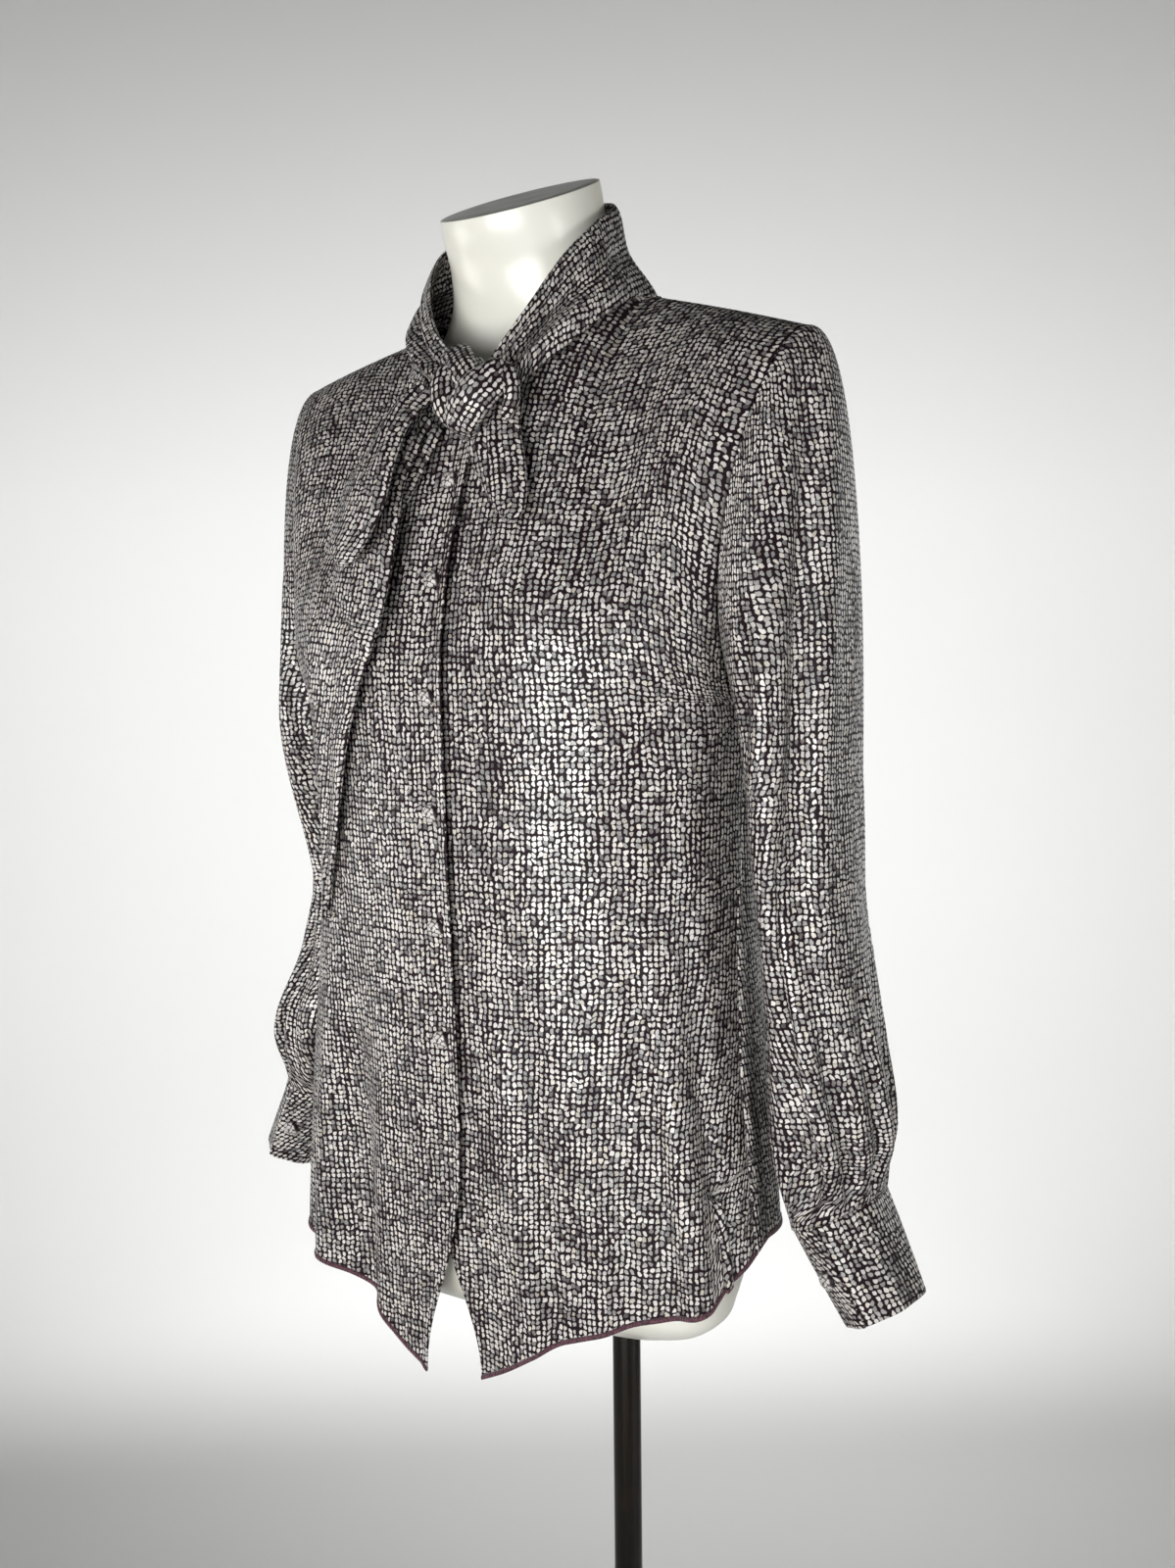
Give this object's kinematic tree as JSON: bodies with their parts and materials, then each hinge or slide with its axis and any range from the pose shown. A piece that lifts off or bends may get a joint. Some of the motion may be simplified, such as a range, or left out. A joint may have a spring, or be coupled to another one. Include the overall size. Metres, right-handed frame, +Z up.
{
  "type": "tie neck blouse on a dress form",
  "caption": "Long-sleeved tie neck blouse with buttoned front, gathered cuffs and shirt-tail hem, worn by a limbless dress form on a pole stand.",
  "frame": {"origin": "centre of the base plate's underside, on the floor, at the pole's axis", "axes": "+Z up along the pole; the blouse faces -Y; +X is the wearer's left"},
  "size_m": [0.5242, 0.34, 1.4893],
  "materials": {
    "printed_silk": "satin woven silk with an irregular dark net print over warm grey",
    "form_shell": "glossy off-white",
    "pole_metal": "glossy dark bronze",
    "base_steel": "satin dark bronze"
  },
  "bodies": {
    "root": {"back": "printed_silk", "front_left": "printed_silk", "front_right": "printed_silk", "sleeve_left": "printed_silk", "sleeve_right": "printed_silk", "cuff_left": "printed_silk", "cuff_right": "printed_silk", "collar": "printed_silk", "tie_knot": "printed_silk", "tie_loop_right": "printed_silk", "tie_fold_right": "printed_silk", "tie_end_right": "printed_silk", "tie_end_left": "printed_silk", "button_1": "printed_silk", "button_2": "printed_silk", "button_3": "printed_silk", "button_4": "printed_silk", "button_5": "printed_silk", "button_6": "printed_silk", "cuff_button_left": "printed_silk", "cuff_button_right": "printed_silk", "dress_form": "form_shell", "stand_pole": "pole_metal", "stand_socket": "pole_metal", "stand_base": "base_steel"}
  },
  "joints": []
}
